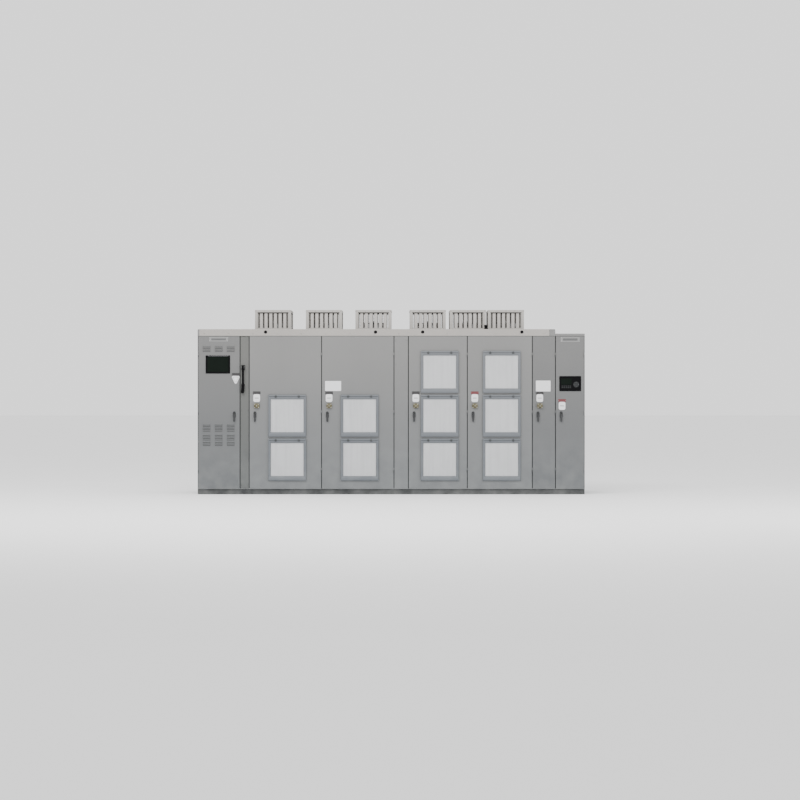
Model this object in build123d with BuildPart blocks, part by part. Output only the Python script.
"""Line-up of switchboard cabinets: switched entry, transformer, power, output and control sections.

Millimetres. +X runs to the right along the line-up, the doors face -Y and +Z is up.
The origin is on the floor, at the middle of the base frame.
Distances called "out" are measured forwards from the origin, towards -Y.
"""
from build123d import *
from collections import namedtuple
from math import cos, radians, sin
import os

os.makedirs("parts", exist_ok=True)

# ---------------------------------------------------------------- driving dimensions
# widths of the sections, left to right
entry_door_w = 592.0
flange_w = 128.0            # fixed strip beside the entry door, which carries the isolator lever
transformer_door_w = 1007.0
filler_w = 200.0
power_left_w = 820.0
power_right_w = 904.0
output_w = 322.0
control_w = 410.0

# heights
cabinet_h = 2300.0
control_drop = 60.0         # the control section is a little lower
plinth_h = 76.0
header_h = 97.0             # from the door tops to the roof

# depth and sheet metal
body_d = 1200.0
door_t = 30.0
sheet = 3.0
bend_r = 2.0
door_gap = 12.0             # between neighbouring doors
door_clear = 3.0            # above and below a door
seal_gap = 2.0              # door back to frame front
post_w = 40.0
post_wall = 3.0
cross_w = 36.0
rail_d = 60.0
rail_t = 6.0
anchor_r = 9.0
anchor_inset = 60.0
anchor_inner_x = 900.0
anchor_edge = 25.0          # anchor holes from the front and the back of the base
seam = 1.0                  # between neighbouring covers
cable_front = -150.0        # the open part of a floor that cables come through
cable_rear = 300.0
header_top_gap = 194.0      # from the roof down to the top of a gear plate

# hinges
hinge_r = 5.5
hinge_pin_r = 3.0
running_fit = 0.05
knuckle_h = 30.0
knuckle_gap = 0.3
leaf_t = 3.0
leaf_offset = 2.1           # middle of a fixed hinge leaf from the hinge axis
hinge_proud = 6.0           # hinge axis in front of the door face
hinge_shift = 2.5           # hinge axis from the middle of the gap, towards its own door
hinge_inset = 260.0         # top and bottom hinges from the ends of a door

# handles and key locks
handle_offset = 80.0        # from the latch side boundary
handle_z = 1126.0
handle_len = 130.0
handle_w = 26.0
handle_t = 12.0
shaft_r = 8.0
plate_t = 4.0
cam_len = 52.0
handle_edge_r = 3.0
handle_plate_w = 36.4
handle_plate_h = 52.0
lock_offset = 105.0
lock_z = 1233.0
lock_w = 78.0
lock_h = 68.0
lock_d = 38.0
lock_corner_r = 6.0
barrel_r = 17.0
barrel_len = 8.0
key_h = 22.0
key_len = 12.0

# air filters
filter_w = 528.0
filter_h = 584.0
filter_t = 24.0
filter_stile_w = 34.5       # from the filter's side to its mat
filter_rail_h = 62.5        # from the filter's top and bottom to its mat
media_t = 16.0
media_gap = 0.3
filter_row_gap = 25.0
filter_mid_z = 1094.0
filter_shift = 26.0         # filters sit a little to the hinge side of the door's middle
filter_gap = 0.5
filter_pivot = 6.0          # pivot from the frame's back and from its lower edge
filter_pin_r = 3.0
filter_pin_len = 8.0
lug_t = 6.0
lug_gap = 1.0
knob_r = 13.0
knob_t = 20.0
knob_pitch = 320.0
knob_drop = 24.0

# roof hoods and fans
hood_w = 507.0
hood_d = 560.0
hood_h = 278.0
hood_post = 35.0
hood_lid_t = 34.0
hood_base_t = 12.0
hood_edge_r = 4.0
hood_out = 100.0            # middle of the hoods, forwards of the origin
transformer_hood_x = (316.0, 1030.0, 1725.0)   # from the left edge of the transformer section
power_hood_x = (273.0, 835.0, 1370.0)          # from the left edge of the power section
slat_count = 6
slat_pitch = 66.0
slat_w = 30.0
slat_t = 4.0
grille_bar_h = 8.0
grille_inset = 6.0
fan_hole_r = 190.0
fan_ring_t = 15.0
fan_ring_h = 20.0
rotor_r = 172.0
rotor_lift = 30.0           # lowest edge of the rotor above the roof
blade_count = 7
blade_t = 3.0
blade_len = 77.0
blade_mid_r = 137.0
blade_turn = 55.0           # degrees from the spoke through its middle
rotor_ring_w = 39.0
hub_r = 24.0
hub_h = 26.0
rotor_play = 1.0
motor_r = 58.0
motor_h = 92.0
motor_shaft_r = 8.0
strut_w = 24.0
strut_t = 6.0

# display and keypad
hmi_w = 340.0
hmi_h = 252.0
hmi_z = 1808.0
hmi_x = 284.0               # from the left end
keypad_w = 302.0
keypad_h = 208.0
keypad_z = 1541.0
bezel_t = 10.0
panel_body_inset = 14.0
panel_body_d = 24.0

# isolator lever
lever_inset = 42.0          # from the entry door's edge of the strip
lever_pivot_z = 1764.0
lever_out = 652.0
lever_len = 357.0
lever_w = 30.0
lever_hub_r = 22.0
lever_t = 14.0
lever_grip_w = 46.0
lever_grip_t = 36.0
lever_grip_len = 120.0
lever_pin_r = 6.0
ear_t = 6.0
ear_h = 60.0
ear_gap = 0.4
slot_clear = 4.0            # round the ears in the strip
isolator_plate_h = 300.0
isolator_h = 240.0
isolator_d = 180.0
flange_proud = 16.0

# lifting angle
lifting_t = 8.0
lifting_leg = 60.0
lifting_left = 25.0         # its left end from the left end of the line-up
lifting_right = 85.0        # its right end short of the control section
lifting_hole_r = 14.0
lifting_hole_x = (948.0, 2477.0, 3133.0, 4513.0)
lifting_hole_drop = 41.0

# transformer
core_y = 90.0
limb_w = 220.0
limb_pitch = 640.0
core_h = 1500.0
foot_h = 100.0
foot_w = 90.0
foot_len = 760.0
coil_r = 300.0
coil_in_r = 165.0
coil_rise = 24.0
coil_block_w = 48.0
coil_block_pitch = 110.0

# power modules and their rack
rack_setback = 90.0         # from the back of the front posts
rack_d = 700.0
rack_side = 50.0
shelf_z0 = 100.0            # lowest shelf above the floor plate
shelf_t = 40.0
shelf_step = 640.0
shelf_count = 3
module_h = 520.0
module_w = 370.0
module_d = 620.0
module_wall = 10.0
module_corner = 8.0
module_count = 4

# entry gear
plate_y = 330.0
contactor_w = 460.0
contactor_d = 280.0
contactor_h = 380.0
contactor_z = 560.0
phase_pitch = 170.0
fuse_r = 38.0
fuse_len = 420.0
fuse_z = 1150.0
clip_h = 30.0
clip_d = 150.0

# output busbars
rail_y = 420.0
bar_pitch = 90.0
bar_w = 50.0
bar_t = 10.0
bar_end = 100.0             # past the outer supports
insulator_r = 22.0
insulator_len = 80.0
support_z = (700.0, 1780.0)

# control gear
gear_y = 200.0
row_pitch = 300.0
row_count = 5
device_w = 52.0
device_h = 120.0
device_d = 90.0
device_gap = 6.0
device_count = 5

# ---------------------------------------------------------------- places worked out from them
total_w = (entry_door_w + flange_w + 2 * transformer_door_w + filler_w
           + power_left_w + power_right_w + output_w + control_w)
x_left = -total_w / 2
x_flange = x_left + entry_door_w
x_transformer = x_flange + flange_w
x_transformer_mid = x_transformer + transformer_door_w
x_filler = x_transformer_mid + transformer_door_w
x_power = x_filler + filler_w
x_power_mid = x_power + power_left_w
x_output = x_power_mid + power_right_w
x_control = x_output + output_w
x_right = x_control + control_w

control_h = cabinet_h - control_drop
half_gap = door_gap / 2
media_w = filter_w - 2 * filter_stile_w
media_h = filter_h - 2 * filter_rail_h
frame_out = body_d / 2
door_back = frame_out + seal_gap
door_front = door_back + door_t
hinge_out = door_front + hinge_proud
floor_z = plinth_h + sheet
door_z0 = plinth_h + door_clear
door_z1 = cabinet_h - header_h - door_clear
post_back = frame_out - post_w
anchor_out = frame_out - anchor_edge
header_proud = door_front - frame_out - lifting_t
rear_in = body_d / 2 - sheet

Door = namedtuple("Door", "name x0 x1 hinge rows")
upper_z = filter_mid_z + filter_h + filter_row_gap
lower_z = filter_mid_z - filter_h - filter_row_gap
doors = [
    Door("entry", x_left + half_gap, x_flange, -1, {}),
    Door("transformer_left", x_transformer, x_transformer_mid, 1,
         {"middle": filter_mid_z, "lower": lower_z}),
    Door("transformer_right", x_transformer_mid, x_filler, 1,
         {"middle": filter_mid_z, "lower": lower_z}),
    Door("power_left", x_power, x_power_mid, 1,
         {"upper": upper_z, "middle": filter_mid_z, "lower": lower_z}),
    Door("power_right", x_power_mid, x_output, 1,
         {"upper": upper_z, "middle": filter_mid_z, "lower": lower_z}),
    Door("output", x_output, x_control, 1, {}),
    Door("control", x_control, x_right - half_gap, 1, {}),
]


def hinge_edge_x(door):
    return door.x1 if door.hinge > 0 else door.x0


def hinge_x(door):
    """The axis, set in from the gap so that the next door's edge swings past the knuckles."""
    return hinge_edge_x(door) - door.hinge * hinge_shift


def latch_x(door):
    return door.x0 if door.hinge > 0 else door.x1


def filter_x(door):
    return (door.x0 + door.x1) / 2 + filter_shift * door.hinge


def hinge_heights():
    return (door_z0 + hinge_inset, (door_z0 + door_z1) / 2, door_z1 - hinge_inset)


# ---------------------------------------------------------------- small makers
def block(x0, x1, y0, y1, z0, z1):
    """A plain rectangular piece between two corners."""
    with BuildPart() as piece:
        with BuildSketch(Plane.XY.offset(z0)):
            with Locations(((x0 + x1) / 2, (y0 + y1) / 2)):
                Rectangle(x1 - x0, y1 - y0)
        extrude(amount=z1 - z0)
    return piece.part


def tube(plane, w, h, wall, length):
    """A rectangular tube, its section on the plane and its length along the plane's normal."""
    with BuildPart() as piece:
        with BuildSketch(plane):
            Rectangle(w, h)
            Rectangle(w - 2 * wall, h - 2 * wall, mode=Mode.SUBTRACT)
        extrude(amount=length)
    return piece.part


def save(name, *pieces):
    """Write one node, which is one piece or a group of separate pieces."""
    node = pieces[0] if len(pieces) == 1 else Compound(children=list(pieces))
    node.label = name
    export_step(node, f"parts/{name}.step")


# ---------------------------------------------------------------- base frame and floor
def base_rail(side):
    """A channel along the whole line-up, open towards the middle; side is -1 front, 1 rear."""
    outer = side * body_d / 2
    with BuildPart() as rail:
        with BuildSketch(Plane.YZ.offset(x_left)):
            with Locations((outer - side * rail_d / 2, plinth_h / 2)):
                Rectangle(rail_d, plinth_h)
            with Locations((outer - side * (rail_d + rail_t) / 2, plinth_h / 2)):
                Rectangle(rail_d - rail_t, plinth_h - 2 * rail_t, mode=Mode.SUBTRACT)
        extrude(amount=total_w)
        with BuildSketch(Plane.XY):
            with Locations(*[(x, side * anchor_out) for x in anchor_x]):
                Circle(anchor_r)
        extrude(amount=rail_t, mode=Mode.SUBTRACT)
    return rail.part


anchor_x = (x_left + anchor_inset, -anchor_inner_x, anchor_inner_x, x_right - anchor_inset)
cross_x = (x_left + cross_w / 2, x_transformer, x_transformer_mid, 0.0, x_power, x_power_mid,
           x_output, x_control, x_right - cross_w / 2)
cross_len = body_d - 2 * rail_d
crosses = [tube(Plane(origin=(x, -cross_len / 2, plinth_h / 2), x_dir=(1, 0, 0), z_dir=(0, 1, 0)),
                cross_w, plinth_h, post_wall, cross_len)
           for x in cross_x]

# the entry and output sections are left open in the middle of the floor, for the power cables
section_edges = ((x_left, x_transformer), (x_transformer, x_filler), (x_filler, x_power),
                 (x_power, x_output), (x_output, x_control), (x_control, x_right))
open_floors = (x_left, x_output)
floor_plates = []
for edge0, edge1 in section_edges:
    if edge0 in open_floors:
        floor_plates.append(block(edge0, edge1, -frame_out, cable_front, plinth_h, floor_z))
        floor_plates.append(block(edge0, edge1, cable_rear, frame_out, plinth_h, floor_z))
    else:
        floor_plates.append(block(edge0, edge1, -frame_out, frame_out, plinth_h, floor_z))
save("base_frame", base_rail(-1), base_rail(1), *crosses)
save("floor_plates", *floor_plates)

# ---------------------------------------------------------------- walls, covers and roof
partition_x = (x_transformer, x_filler, x_power, x_output, x_control)
save("walls",
     block(x_left, x_left + sheet, -post_back, rear_in, floor_z, cabinet_h - sheet),
     block(x_right - sheet, x_right, -post_back, rear_in, floor_z, control_h - sheet),
     *[block(x - sheet / 2, x + sheet / 2, -post_back, rear_in, floor_z, cabinet_h - sheet)
       for x in partition_x])

section_tops = (cabinet_h, cabinet_h, cabinet_h, cabinet_h, cabinet_h, control_h)
rear_covers = [block(edge0 + seam, edge1 - seam, rear_in, rear_in + sheet, floor_z, top - sheet)
               for (edge0, edge1), top in zip(section_edges, section_tops)]
save("rear_covers", *rear_covers)

hood_x = [x_transformer + x for x in transformer_hood_x] + [x_power + x for x in power_hood_x]


def roof_plate(edge0, edge1, top):
    """The roof sheet of one section, with a round hole under each hood that stands on it."""
    front = -(post_back - sheet)
    with BuildPart() as plate:
        with BuildSketch(Plane.XY.offset(top - sheet)):
            with Locations(((edge0 + edge1) / 2, (front + frame_out) / 2)):
                Rectangle(edge1 - edge0, frame_out - front)
            holes = [(x, -hood_out) for x in hood_x if edge0 < x < edge1]
            if holes:
                with Locations(*holes):
                    Circle(fan_hole_r, mode=Mode.SUBTRACT)
        extrude(amount=sheet)
    return plate.part


roof_edges = [(edge0 + seam, edge1 - seam) for edge0, edge1 in section_edges[:-1]]
roof_edges.append((x_control + sheet, x_right))
save("roof_plates", *[roof_plate(edge0, edge1, top)
                      for (edge0, edge1), top in zip(roof_edges, section_tops)])

# ---------------------------------------------------------------- front frame
post_x = (x_left + post_w / 2, x_flange, x_transformer, x_transformer_mid, x_filler, x_power,
          x_power_mid, x_output, x_control, x_right - post_w / 2)
rail_z0 = cabinet_h - header_h
post_mid = -(frame_out + post_back) / 2
posts = [tube(Plane(origin=(x, post_mid, floor_z), x_dir=(1, 0, 0), z_dir=(0, 0, 1)),
              post_w, post_w, post_wall, rail_z0 - floor_z)
         for x in post_x]


def head_rail(edge0, edge1, top):
    middle = (rail_z0 + top) / 2
    return tube(Plane(origin=(edge0, post_mid, middle), x_dir=(0, 1, 0), z_dir=(1, 0, 0)),
                post_w, top - rail_z0, post_wall, edge1 - edge0)


save("front_frame", *posts,
     head_rail(x_left, x_control, cabinet_h - lifting_t),
     head_rail(x_control, x_right, control_h - sheet))


def header_cover(edge0, edge1, z1):
    """The pressed strip that closes the front above the doors."""
    with BuildPart() as cover:
        with BuildSketch(Plane.XZ.offset(frame_out)):
            with Locations(((edge0 + edge1) / 2, (rail_z0 + z1) / 2)):
                Rectangle(edge1 - edge0, z1 - rail_z0)
        extrude(amount=header_proud)
        fillet(cover.faces().sort_by(Axis.Y)[0].edges().filter_by(Axis.X), radius=bend_r)
        with BuildSketch(Plane.XZ.offset(frame_out)):
            with Locations(((edge0 + edge1) / 2, (rail_z0 + z1) / 2)):
                Rectangle(edge1 - edge0 - 2 * sheet, z1 - rail_z0 - 2 * sheet)
        extrude(amount=header_proud - sheet, mode=Mode.SUBTRACT)
    return cover.part


cover_top = cabinet_h - lifting_t - seam
header_covers = [header_cover(edge0 + seam, edge1 - seam, cover_top)
                 for edge0, edge1 in section_edges[:-1]]
header_covers.append(header_cover(x_control + seam, x_right - seam, control_h - sheet))

with BuildPart() as lifting_angle:
    lifting_x0 = x_left + lifting_left
    lifting_x1 = x_control - lifting_right
    with BuildSketch(Plane.YZ.offset(lifting_x0)):
        with BuildLine():
            Polyline((-door_front, rail_z0 + door_clear), (-door_front, cabinet_h),
                     (-door_front + lifting_leg, cabinet_h), (-door_front + lifting_leg, cabinet_h - lifting_t),
                     (-door_front + lifting_t, cabinet_h - lifting_t),
                     (-door_front + lifting_t, rail_z0 + door_clear), close=True)
        make_face()
    extrude(amount=lifting_x1 - lifting_x0)
    fillet(lifting_angle.edges().filter_by(Axis.X).group_by(Axis.Z)[-1].sort_by(Axis.Y)[0], radius=lifting_t)
    with BuildSketch(Plane.XZ.offset(door_front)):
        with Locations(*[(x_left + x, cabinet_h - lifting_hole_drop) for x in lifting_hole_x]):
            Circle(lifting_hole_r)
    extrude(amount=-lifting_t, mode=Mode.SUBTRACT)
save("lifting_angle", lifting_angle.part)


# ---------------------------------------------------------------- fixed front panels
def pan(x0, x1, z0, z1, back, front):
    """A pressed sheet panel: a face with its four edges folded back."""
    with BuildPart() as panel:
        with BuildSketch(Plane.XZ.offset(back)):
            with Locations(((x0 + x1) / 2, (z0 + z1) / 2)):
                Rectangle(x1 - x0, z1 - z0)
        extrude(amount=front - back)
        fillet(panel.faces().sort_by(Axis.Y)[0].edges(), radius=bend_r)
        with BuildSketch(Plane.XZ.offset(back)):
            with Locations(((x0 + x1) / 2, (z0 + z1) / 2)):
                Rectangle(x1 - x0 - 2 * sheet, z1 - z0 - 2 * sheet)
        extrude(amount=front - back - sheet, mode=Mode.SUBTRACT)
    return panel.part


filler_panel = pan(x_filler + half_gap, x_power - half_gap, door_z0, door_z1, frame_out, door_front)
save("front_covers", filler_panel, *header_covers)

lever_mid = x_flange + lever_inset
ear_in = lever_w / 2 + ear_gap
with BuildPart() as flange_panel:
    add(pan(x_flange + half_gap, x_transformer - half_gap, door_z0, door_z1, frame_out,
            frame_out + flange_proud))
    with BuildSketch(Plane.XZ.offset(frame_out)):
        with Locations((lever_mid, lever_pivot_z)):
            Rectangle(2 * (ear_in + ear_t + slot_clear), ear_h + 2 * slot_clear)
    extrude(amount=flange_proud, mode=Mode.SUBTRACT)
save("switch_flange_panel", flange_panel.part)

# ---------------------------------------------------------------- hinges
hinge_pieces = []
for door in doors:
    axis_x = hinge_x(door)
    leaf_x = axis_x + door.hinge * leaf_offset
    for z in hinge_heights():
        with BuildPart() as bracket:
            with BuildSketch(Plane.XY.offset(z - knuckle_h)):
                with Locations((axis_x, -hinge_out)):
                    Circle(hinge_r)
                with Locations((leaf_x, -(hinge_out + frame_out) / 2)):
                    Rectangle(leaf_t, hinge_out - frame_out)
                with Locations((axis_x, -hinge_out)):
                    Circle(hinge_pin_r + running_fit, mode=Mode.SUBTRACT)
            extrude(amount=knuckle_h - knuckle_gap)
        with BuildPart() as pin:
            with BuildSketch(Plane.XY.offset(z - knuckle_h)):
                with Locations((axis_x, -hinge_out)):
                    Circle(hinge_pin_r)
            extrude(amount=2 * knuckle_h + hinge_pin_r)
            with BuildSketch(Plane.XY.offset(z - knuckle_h)):
                with Locations((axis_x, -hinge_out)):
                    Circle(hinge_r)
            extrude(amount=-hinge_pin_r)
        hinge_pieces += [bracket.part, pin.part]
save("door_hinges", *hinge_pieces)


# ---------------------------------------------------------------- doors
def filter_pivot_out():
    return door_front + filter_gap + filter_pivot


def make_door(door, cutouts):
    """A door pan with its filter windows and lugs, and a plate behind the handle."""
    edge0 = door.x0 + half_gap
    edge1 = door.x1 - half_gap
    handle_x = latch_x(door) + door.hinge * handle_offset
    with BuildPart() as leaf:
        add(pan(edge0, edge1, door_z0, door_z1, door_back, door_front))
        # the windows that the filters and the panels stand in front of
        for x, z, w, h in cutouts:
            with BuildSketch(Plane.XZ.offset(door_back)):
                with Locations((x, z)):
                    Rectangle(w, h)
            extrude(amount=door_t, mode=Mode.SUBTRACT)
        # the lugs that the filter frames tilt in
        for z in door.rows.values():
            pivot_z = z - filter_h / 2 + filter_pivot
            for side in (-1, 1):
                near = filter_x(door) + side * (filter_w / 2 + lug_gap)
                with BuildSketch(Plane.YZ.offset(near)):
                    with Locations((-door_front - filter_pivot - filter_gap / 2, pivot_z)):
                        Rectangle(2 * filter_pivot + filter_gap, 2 * filter_pivot)
                    with Locations((-filter_pivot_out(), pivot_z)):
                        Circle(filter_pin_r + running_fit, mode=Mode.SUBTRACT)
                extrude(amount=side * lug_t)
        # the plate behind the handle, and the hole for its shaft
        with BuildSketch(Plane.XZ.offset(door_front)):
            with Locations((handle_x, handle_z)):
                SlotOverall(handle_plate_h, handle_plate_w, rotation=90)
        extrude(amount=plate_t)
        with BuildSketch(Plane.XZ.offset(door_back)):
            with Locations((handle_x, handle_z)):
                Circle(shaft_r + running_fit)
        extrude(amount=door_t + plate_t, mode=Mode.SUBTRACT)
    return leaf.part


def moving_hinge_leaf(door, z):
    """The half of a hinge that is welded to the door's edge and turns about the pin."""
    plate_x = hinge_edge_x(door) - door.hinge * (half_gap - leaf_t / 2)
    with BuildPart() as leaf:
        with BuildSketch(Plane.XY.offset(z)):
            with Locations((hinge_x(door), -hinge_out)):
                Circle(hinge_r)
            with Locations((plate_x, -(hinge_out + door_back) / 2)):
                Rectangle(leaf_t, hinge_out - door_back)
            with Locations((hinge_x(door), -hinge_out)):
                Circle(hinge_pin_r + running_fit, mode=Mode.SUBTRACT)
        extrude(amount=knuckle_h)
    return leaf.part


def make_handle(door):
    """The lever, its shaft through the door and the cam behind the sheet, in one piece."""
    x = latch_x(door) + door.hinge * handle_offset
    hub_out = door_front + plate_t + media_gap
    arm_out = hub_out + handle_t
    arm_z = handle_z + handle_w / 2 - handle_len / 2
    with BuildPart() as handle:
        with BuildSketch(Plane.XZ.offset(hub_out)):
            with Locations((x, handle_z)):
                Circle(handle_w / 2)
        extrude(amount=2 * handle_t)
        with BuildSketch(Plane.XZ.offset(arm_out)):
            with Locations((x, arm_z)):
                SlotOverall(handle_len, handle_w, rotation=90)
        extrude(amount=handle_t)
        fillet(handle.faces().sort_by(Axis.Y)[0].edges(), radius=handle_edge_r)
        with BuildSketch(Plane.XZ.offset(door_back + plate_t)):
            with Locations((x, handle_z)):
                Circle(shaft_r)
        extrude(amount=arm_out - door_back - plate_t)
        with BuildSketch(Plane.XZ.offset(door_back + plate_t)):
            with Locations((x, handle_z - cam_len / 2 + shaft_r)):
                Rectangle(2 * shaft_r, cam_len)
        extrude(amount=plate_t)
    return handle.part


def make_filter(x, z):
    """A filter frame with its pivot pins, the filter mat and the two quarter-turn knobs."""
    back = door_front + filter_gap
    front = back + filter_t
    bottom = z - filter_h / 2
    with BuildPart() as frame:
        with BuildSketch(Plane.XZ.offset(back)):
            with Locations((x, z)):
                Rectangle(filter_w, filter_h)
        extrude(amount=filter_t)
        fillet(frame.faces().sort_by(Axis.Y)[0].edges(), radius=bend_r)
        fillet(frame.edges().filter_by(Axis.X).group_by(Axis.Z)[0].sort_by(Axis.Y)[-1], radius=filter_pivot)
        with BuildSketch(Plane.XZ.offset(back)):
            with Locations((x, z)):
                Rectangle(media_w, media_h)
        extrude(amount=filter_t, mode=Mode.SUBTRACT)
        for side in (-1, 1):
            with BuildSketch(Plane.YZ.offset(x + side * filter_w / 2)):
                with Locations((-filter_pivot_out(), bottom + filter_pivot)):
                    Circle(filter_pin_r)
            extrude(amount=side * filter_pin_len)
    with BuildPart() as mat:
        with BuildSketch(Plane.XZ.offset(back + sheet)):
            with Locations((x, z)):
                Rectangle(media_w - 2 * media_gap, media_h - 2 * media_gap)
        extrude(amount=media_t)
    knobs = []
    for side in (-1, 1):
        with BuildPart() as knob:
            with BuildSketch(Plane.XZ.offset(front)):
                with Locations((x + side * knob_pitch / 2, z + filter_h / 2 - knob_drop)):
                    Circle(knob_r)
            extrude(amount=knob_t)
            fillet(knob.faces().sort_by(Axis.Y)[0].edges(), radius=bend_r)
        knobs.append(knob.part)
    return [frame.part, mat.part, *knobs]


def make_lock(door):
    """A key interlock: its case, the barrel and the key that stands in it."""
    x = latch_x(door) + door.hinge * lock_offset
    with BuildPart() as lock:
        with BuildSketch(Plane.XZ.offset(door_front)):
            with Locations((x, lock_z)):
                Rectangle(lock_w, lock_h)
        extrude(amount=lock_d)
        fillet(lock.edges().filter_by(Axis.Y), radius=lock_corner_r)
        with BuildSketch(Plane.XZ.offset(door_front + lock_d)):
            with Locations((x, lock_z)):
                Circle(barrel_r)
        extrude(amount=barrel_len)
        with BuildSketch(Plane.XZ.offset(door_front + lock_d + barrel_len)):
            with Locations((x, lock_z)):
                Rectangle(sheet, key_h)
        extrude(amount=key_len)
    return lock.part


def make_panel(x, z, w, h):
    """An operator panel: a bezel on the door face and a body through its window."""
    with BuildPart() as panel:
        with BuildSketch(Plane.XZ.offset(door_front)):
            with Locations((x, z)):
                Rectangle(w, h)
        extrude(amount=bezel_t)
        chamfer(panel.faces().sort_by(Axis.Y)[0].edges(), length=bend_r)
        with BuildSketch(Plane.XZ.offset(door_front)):
            with Locations((x, z)):
                Rectangle(w - 2 * panel_body_inset - 2 * media_gap, h - 2 * panel_body_inset - 2 * media_gap)
        extrude(amount=-panel_body_d)
    return panel.part


panels = {"entry": ("hmi_panel", x_left + hmi_x, hmi_z, hmi_w, hmi_h),
          "control": ("keypad_panel", (x_control + x_right) / 2, keypad_z, keypad_w, keypad_h)}
locked = ("transformer_left", "transformer_right", "power_left", "power_right", "output")
for door in doors:
    cutouts = [(filter_x(door), z, media_w, media_h) for z in door.rows.values()]
    if door.name in panels:
        panel_name, panel_x, panel_z, panel_w, panel_h = panels[door.name]
        cutouts.append((panel_x, panel_z, panel_w - 2 * panel_body_inset, panel_h - 2 * panel_body_inset))
        save(panel_name, make_panel(panel_x, panel_z, panel_w, panel_h))
    hinge_leaves = [moving_hinge_leaf(door, z) for z in hinge_heights()]
    save(f"door_{door.name}", make_door(door, cutouts), *hinge_leaves)
    save(f"handle_{door.name}", make_handle(door))
    if door.name in locked:
        save(f"key_lock_{door.name}", make_lock(door))
    for row, row_z in door.rows.items():
        save(f"filter_{door.name}_{row}", *make_filter(filter_x(door), row_z))

# ---------------------------------------------------------------- isolator and its lever
with BuildPart() as isolator:
    plate_back = post_back - rail_t
    plate_w = flange_w - sheet / 2
    with BuildSketch(Plane.XZ.offset(plate_back)):
        with Locations((x_flange + plate_w / 2, lever_pivot_z)):
            Rectangle(plate_w, isolator_plate_h)
    extrude(amount=rail_t)
    with BuildSketch(Plane.XZ.offset(plate_back)):
        with Locations(((x_flange + x_transformer) / 2, lever_pivot_z)):
            Rectangle(flange_w - post_w, isolator_h)
    extrude(amount=-isolator_d)
    for side in (-1, 1):
        with BuildSketch(Plane.YZ.offset(lever_mid + side * ear_in)):
            with Locations((-(lever_out + plate_back) / 2, lever_pivot_z)):
                Rectangle(lever_out - plate_back, ear_h)
            with Locations((-lever_out, lever_pivot_z)):
                Circle(ear_h / 2)
                Circle(lever_pin_r + running_fit, mode=Mode.SUBTRACT)
        extrude(amount=side * ear_t)
save("isolator_switch", isolator.part)

with BuildPart() as lever:
    with BuildSketch(Plane.YZ.offset(lever_mid - lever_w / 2)):
        with Locations((-lever_out, lever_pivot_z)):
            Circle(lever_hub_r)
    extrude(amount=lever_w)
    with BuildSketch(Plane.YZ.offset(lever_mid - lever_w / 2)):
        with Locations((-lever_out, lever_pivot_z - lever_len / 2)):
            Rectangle(lever_t, lever_len)
    extrude(amount=lever_w)
    with BuildSketch(Plane.YZ.offset(lever_mid - ear_in - ear_t)):
        with Locations((-lever_out, lever_pivot_z)):
            Circle(lever_pin_r)
    extrude(amount=2 * (ear_in + ear_t))
with BuildPart() as grip:
    with BuildSketch(Plane.XY.offset(lever_pivot_z - lever_len)):
        with Locations((lever_mid, -lever_out)):
            Ellipse(lever_grip_w / 2, lever_grip_t / 2)
            Rectangle(lever_w, lever_t, mode=Mode.SUBTRACT)
    extrude(amount=lever_grip_len)
save("isolator_lever", lever.part, grip.part)


# ---------------------------------------------------------------- hoods and their grilles
def make_hood(x):
    """The hood's sheet casing: base flange, four corner posts and the lid."""
    with BuildPart() as hood:
        with BuildSketch(Plane.XY.offset(cabinet_h)):
            with Locations((x, -hood_out)):
                Rectangle(hood_w, hood_d)
                Rectangle(hood_w - 2 * hood_post, hood_d - 2 * hood_post, mode=Mode.SUBTRACT)
        extrude(amount=hood_base_t)
        with BuildSketch(Plane.XY.offset(cabinet_h)):
            with Locations((x, -hood_out)):
                with GridLocations(hood_w - hood_post, hood_d - hood_post, 2, 2):
                    Rectangle(hood_post, hood_post)
        extrude(amount=hood_h)
        with BuildSketch(Plane.XY.offset(cabinet_h + hood_h - hood_lid_t)):
            with Locations((x, -hood_out)):
                Rectangle(hood_w, hood_d)
        extrude(amount=hood_lid_t)
        fillet(hood.faces().sort_by(Axis.Z)[-1].edges(), radius=hood_edge_r)
        with BuildSketch(Plane.XY.offset(cabinet_h + hood_h - hood_lid_t)):
            with Locations((x, -hood_out)):
                Rectangle(hood_w - 2 * hood_post, hood_d - 2 * hood_post)
        extrude(amount=hood_lid_t - sheet, mode=Mode.SUBTRACT)
    return hood.part


def make_grille(plane, span):
    """Upright slats between a bottom and a top bar; the plane stands at the grille's outer face."""
    low = hood_base_t
    high = hood_h - hood_lid_t
    with BuildPart() as grille:
        with BuildSketch(plane):
            with Locations((0, low + grille_bar_h / 2), (0, high - grille_bar_h / 2)):
                Rectangle(span, grille_bar_h)
            with Locations((0, (low + high) / 2)):
                with GridLocations(slat_pitch, 1, slat_count, 1):
                    Rectangle(slat_w, high - low)
        extrude(amount=-slat_t)
    return grille.part


grilles = []
for x in hood_x:
    for turn in range(4):
        reach = (hood_d if turn % 2 == 0 else hood_w) / 2 - grille_inset
        span = (hood_w if turn % 2 == 0 else hood_d) - 2 * hood_post
        normal = Vector(sin(radians(90 * turn)), -cos(radians(90 * turn)), 0)
        middle = Vector(x, -hood_out, cabinet_h) + normal * reach
        outer_face = Plane(origin=middle, x_dir=Vector(0, 0, 1).cross(normal), z_dir=normal)
        grilles.append(make_grille(outer_face, span))
save("hood_casings", *[make_hood(x) for x in hood_x])


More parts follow.
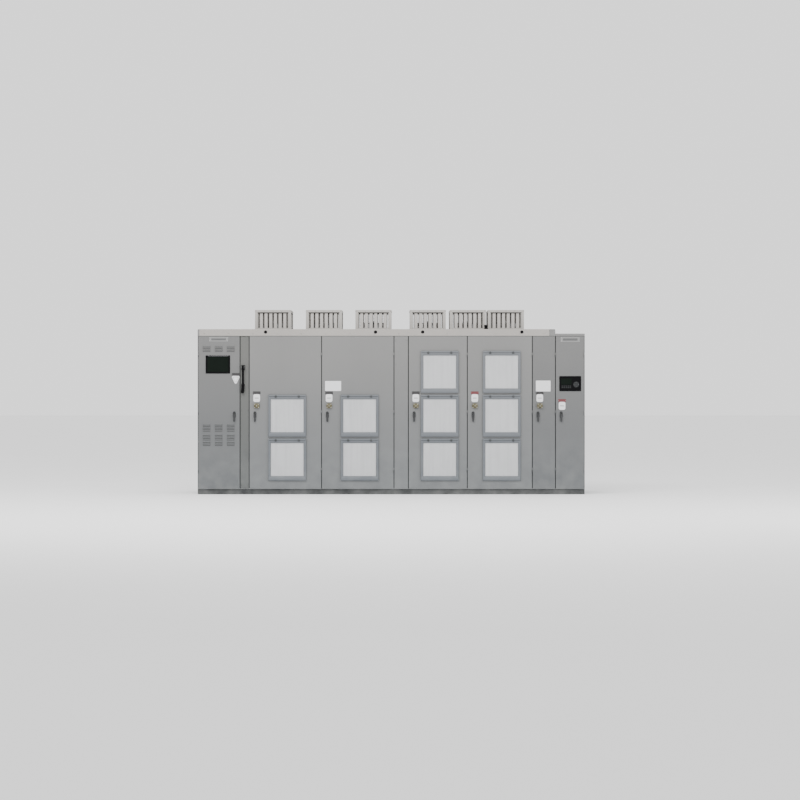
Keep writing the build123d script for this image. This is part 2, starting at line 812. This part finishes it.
# ---------------------------------------------------------------- fans under the hoods
def fan_ring(x):
    """The inlet ring on the roof, with the two struts that carry the motor."""
    with BuildPart() as ring:
        with BuildSketch(Plane.XY.offset(cabinet_h)):
            with Locations((x, -hood_out)):
                Circle(fan_hole_r + fan_ring_t)
                Circle(fan_hole_r, mode=Mode.SUBTRACT)
        extrude(amount=fan_ring_h)
        with BuildSketch(Plane.XY.offset(cabinet_h)):
            with Locations((x, -hood_out)):
                Rectangle(2 * fan_hole_r + fan_ring_t, strut_w)
                Rectangle(strut_w, 2 * fan_hole_r + fan_ring_t)
        extrude(amount=strut_t)
    return ring.part


def fan_motor(x):
    foot = cabinet_h + strut_t
    with BuildPart() as motor:
        with BuildSketch(Plane.XY.offset(foot)):
            with Locations((x, -hood_out)):
                Circle(motor_r)
        extrude(amount=motor_h)
        with BuildSketch(Plane.XY.offset(foot + motor_h)):
            with Locations((x, -hood_out)):
                Circle(motor_shaft_r)
        extrude(amount=hub_h + rotor_play + blade_t)
    return motor.part


def fan_rotor(x):
    """A backward-curved fan wheel: hub, top disc, blades and the lower ring."""
    low = cabinet_h + rotor_lift
    disc = cabinet_h + strut_t + motor_h + rotor_play
    with BuildPart() as rotor:
        with BuildSketch(Plane.XY.offset(disc)):
            with Locations((x, -hood_out)):
                Circle(rotor_r)
        extrude(amount=blade_t)
        with BuildSketch(Plane.XY.offset(disc)):
            with Locations((x, -hood_out)):
                Circle(hub_r)
        extrude(amount=hub_h)
        with BuildSketch(Plane.XY.offset(low)):
            with Locations((x, -hood_out)):
                Circle(rotor_r)
                Circle(rotor_r - rotor_ring_w, mode=Mode.SUBTRACT)
        extrude(amount=blade_t)
        with BuildSketch(Plane.XY.offset(low)):
            with Locations((x, -hood_out)):
                with PolarLocations(blade_mid_r, blade_count):
                    Rectangle(blade_len, blade_t, rotation=blade_turn)
        extrude(amount=disc - low)
        with BuildSketch(Plane.XY.offset(disc)):
            with Locations((x, -hood_out)):
                Circle(motor_shaft_r + running_fit)
        extrude(amount=hub_h, mode=Mode.SUBTRACT)
    return rotor.part


save("hood_grilles", *grilles)
save("fan_rings", *[fan_ring(x) for x in hood_x])
save("fan_motors", *[fan_motor(x) for x in hood_x])
for number, x in enumerate(hood_x, start=1):
    save(f"fan_rotor_{number}", fan_rotor(x))

# ---------------------------------------------------------------- transformer
core_x = (x_transformer + x_filler) / 2
core_z = floor_z + foot_h
core_w = 2 * limb_pitch + limb_w
window_h = core_h - 2 * limb_w
with BuildPart() as core:
    with BuildSketch(Plane.XZ.offset(-core_y - limb_w / 2)):
        with Locations((core_x, core_z + core_h / 2)):
            Rectangle(core_w, core_h)
            with GridLocations(limb_pitch, 1, 2, 1):
                Rectangle(limb_pitch - limb_w, window_h, mode=Mode.SUBTRACT)
    extrude(amount=limb_w)
core_feet = [block(core_x + side * limb_pitch - foot_w / 2, core_x + side * limb_pitch + foot_w / 2,
                   core_y - foot_len / 2, core_y + foot_len / 2, floor_z, core_z)
             for side in (-1, 1)]
save("transformer_core", core.part, *core_feet)


def winding(x):
    """One phase: a round coil about its limb, on four blocks that stand on the lower yoke."""
    low = core_z + limb_w
    seat = (coil_r + coil_in_r) / 2
    with BuildPart() as coil:
        with BuildSketch(Plane.XY.offset(low + coil_rise)):
            with Locations((x, core_y)):
                Circle(coil_r)
                Circle(coil_in_r, mode=Mode.SUBTRACT)
        extrude(amount=window_h - 2 * coil_rise)
        with BuildSketch(Plane.XY.offset(low)):
            with Locations((x, core_y)):
                with GridLocations(2 * seat, coil_block_pitch, 2, 2):
                    Rectangle(coil_block_w, coil_rise)
        extrude(amount=coil_rise)
    return coil.part


save("transformer_windings", *[winding(core_x + step * limb_pitch) for step in (-1, 0, 1)])

# ---------------------------------------------------------------- power modules and their rack
rack_x0 = x_power + rack_side
rack_x1 = x_output - rack_side
rack_y0 = rack_setback - post_back
rack_y1 = rack_y0 + rack_d
shelf_z = [floor_z + shelf_z0 + shelf_step * level for level in range(shelf_count)]
rack_pieces = []
for x in (rack_x0 + post_w / 2, rack_x1 - post_w / 2):
    for y in (rack_y0 + post_w / 2, rack_y1 - post_w / 2):
        foot = Plane(origin=(x, y, floor_z), x_dir=(1, 0, 0), z_dir=(0, 0, 1))
        rack_pieces.append(tube(foot, post_w, post_w, post_wall, shelf_z[-1] + module_h - floor_z))
rack_middle_y = (rack_y0 + rack_y1) / 2
for z in shelf_z:
    shelf_end = Plane(origin=(rack_x0 + post_w, rack_middle_y, z + shelf_t / 2), x_dir=(0, 1, 0), z_dir=(1, 0, 0))
    rack_pieces.append(tube(shelf_end, rack_d, shelf_t, post_wall, rack_x1 - rack_x0 - 2 * post_w))
save("module_rack", *rack_pieces)

modules = []
module_step = (rack_x1 - rack_x0 - 2 * post_w) / module_count
for z in shelf_z:
    for column in range(module_count):
        with BuildPart() as module:
            left = rack_x0 + post_w + module_step * (column + 0.5) - module_w / 2
            with BuildSketch(Plane.XY.offset(z + shelf_t)):
                with Locations((left + module_w / 2, rack_y0 + module_d / 2)):
                    Rectangle(module_w, module_d)
            extrude(amount=module_h - shelf_t)
            chamfer(module.edges().filter_by(Axis.Z), length=module_corner)
            with BuildSketch(Plane.XZ.offset(-rack_y0 - module_d)):
                with Locations((left + module_w / 2, z + (module_h + shelf_t) / 2)):
                    Rectangle(module_w - 2 * module_wall, module_h - shelf_t - 2 * module_wall)
            extrude(amount=module_d - module_wall, mode=Mode.SUBTRACT)
        modules.append(module.part)
save("power_modules", *modules)

# ---------------------------------------------------------------- entry gear
gear_x0 = x_left + sheet
gear_x1 = x_transformer - sheet / 2
gear_mid = (gear_x0 + gear_x1) / 2
entry_gear = [block(gear_x0, gear_x1, plate_y, plate_y + sheet, floor_z, cabinet_h - header_top_gap),
              block(gear_mid - contactor_w / 2, gear_mid + contactor_w / 2, plate_y - contactor_d, plate_y,
                    contactor_z, contactor_z + contactor_h)]
for step in (-1, 0, 1):
    x = gear_mid + step * phase_pitch
    for z in (fuse_z - clip_h, fuse_z + fuse_len):
        entry_gear.append(block(x - fuse_r, x + fuse_r, plate_y - clip_d, plate_y, z, z + clip_h))
    with BuildPart() as fuse:
        with BuildSketch(Plane.XY.offset(fuse_z)):
            with Locations((x, plate_y - clip_d + fuse_r)):
                Circle(fuse_r)
        extrude(amount=fuse_len)
    entry_gear.append(fuse.part)
save("fused_contactor", *entry_gear)

# ---------------------------------------------------------------- output busbars
bar_x0 = x_output + sheet / 2
bar_x1 = x_control - sheet / 2
bar_mid = (bar_x0 + bar_x1) / 2
busbars = [block(bar_x0, bar_x1, rail_y, rail_y + post_w, z - post_w / 2, z + post_w / 2) for z in support_z]
for step in (-1, 0, 1):
    x = bar_mid + step * bar_pitch
    for z in support_z:
        with BuildPart() as insulator:
            with BuildSketch(Plane.XZ.offset(-rail_y)):
                with Locations((x, z)):
                    Circle(insulator_r)
            extrude(amount=insulator_len)
        busbars.append(insulator.part)
    busbars.append(block(x - bar_w / 2, x + bar_w / 2, rail_y - insulator_len - bar_t, rail_y - insulator_len,
                         support_z[0] - bar_end, support_z[1] + bar_end))
save("output_busbars", *busbars)

# ---------------------------------------------------------------- control gear
control_x0 = x_control + sheet / 2
control_x1 = x_right - sheet
control_mid = (control_x0 + control_x1) / 2
control_gear = [block(control_x0, control_x1, gear_y, gear_y + sheet, floor_z, control_h - header_top_gap)]
for row in range(row_count):
    z = floor_z + row_pitch * (row + 1)
    for column in range(device_count):
        x = control_mid + (column - (device_count - 1) / 2) * (device_w + device_gap)
        control_gear.append(block(x - device_w / 2, x + device_w / 2, gear_y - device_d, gear_y, z, z + device_h))
save("control_gear", *control_gear)
